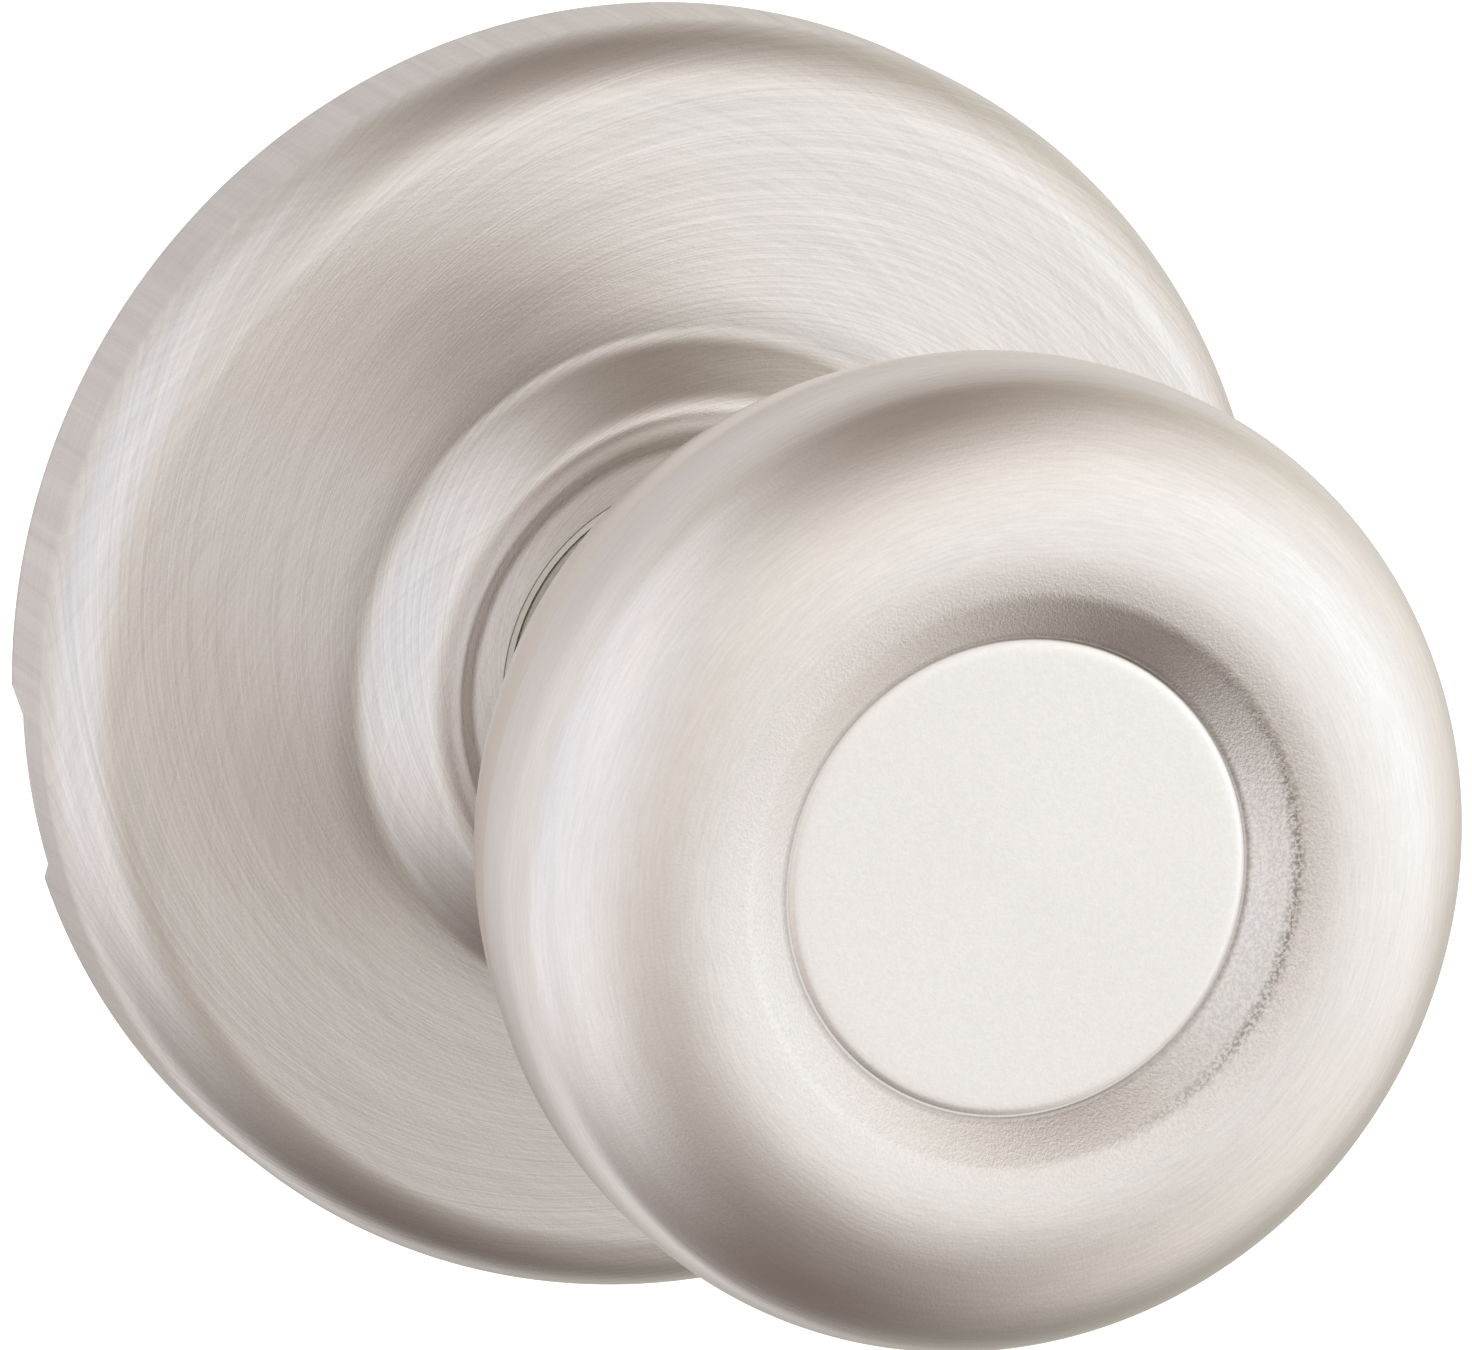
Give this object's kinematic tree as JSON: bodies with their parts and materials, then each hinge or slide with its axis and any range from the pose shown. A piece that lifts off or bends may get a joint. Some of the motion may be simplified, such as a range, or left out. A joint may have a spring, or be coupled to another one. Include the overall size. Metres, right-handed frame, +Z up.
{
  "type": "door knob",
  "caption": "Round passage door knob in satin nickel on a round rose, with its return spring, driver tube, spindle and hidden screws.",
  "frame": {"origin": "on the knob's axis, in the plane of the door face, midway between the two mounting screws", "axes": "-Y out of the door along the knob's axis towards the room, +Y into the door, +Z up, +X to the right as seen from the room"},
  "size_m": [0.07, 0.1136, 0.07],
  "materials": {
    "satin_nickel": "satin nickel plate, brushed round the axis",
    "zinc_plate": "bright zinc plate",
    "bearing_steel": "plain hardened steel",
    "spring_steel": "oiled spring wire",
    "blackened_steel": "phosphated steel",
    "bearing_brass": "turned brass",
    "nylon": "natural nylon",
    "die_cast_zinc": "as-cast zinc alloy"
  },
  "bodies": {
    "root": {"rose": "satin_nickel", "rose_bushing": "nylon", "rose_clips": "spring_steel", "mounting_plate": "zinc_plate", "hub_bushing": "bearing_brass", "mounting_screws": "zinc_plate", "spring_housing": "zinc_plate", "housing_rivets": "bearing_steel", "stop_pins": "bearing_steel", "return_spring": "spring_steel"},
    "knob": {"knob_face": "satin_nickel", "knob_back": "satin_nickel", "knob_core": "die_cast_zinc", "knob_shank": "zinc_plate", "driver_tube": "zinc_plate", "drive_cam": "bearing_steel", "thrust_washer": "nylon", "wave_washer": "spring_steel", "retaining_ring": "blackened_steel", "spindle_socket": "die_cast_zinc", "spindle": "zinc_plate", "spindle_pin": "bearing_steel", "catch_spring": "spring_steel"},
    "catch": {"knob_catch": "bearing_steel"}
  },
  "joints": [
    {"name": "knob_turn", "type": "hinge", "parent": "root", "child": "knob", "pos_m": [0, 0, 0], "axis": [0, -1, 0], "range_deg": [-52, 52], "stiffness_Nm_per_rad": 0.25, "deforming": ["return_spring"]},
    {"name": "catch_press", "type": "slide", "parent": "knob", "child": "catch", "axis": [0, 0, 1], "range_m": [0, 0.0019], "stiffness_N_per_m": 800, "springref_m": -0.002, "deforming": ["catch_spring"]}
  ]
}
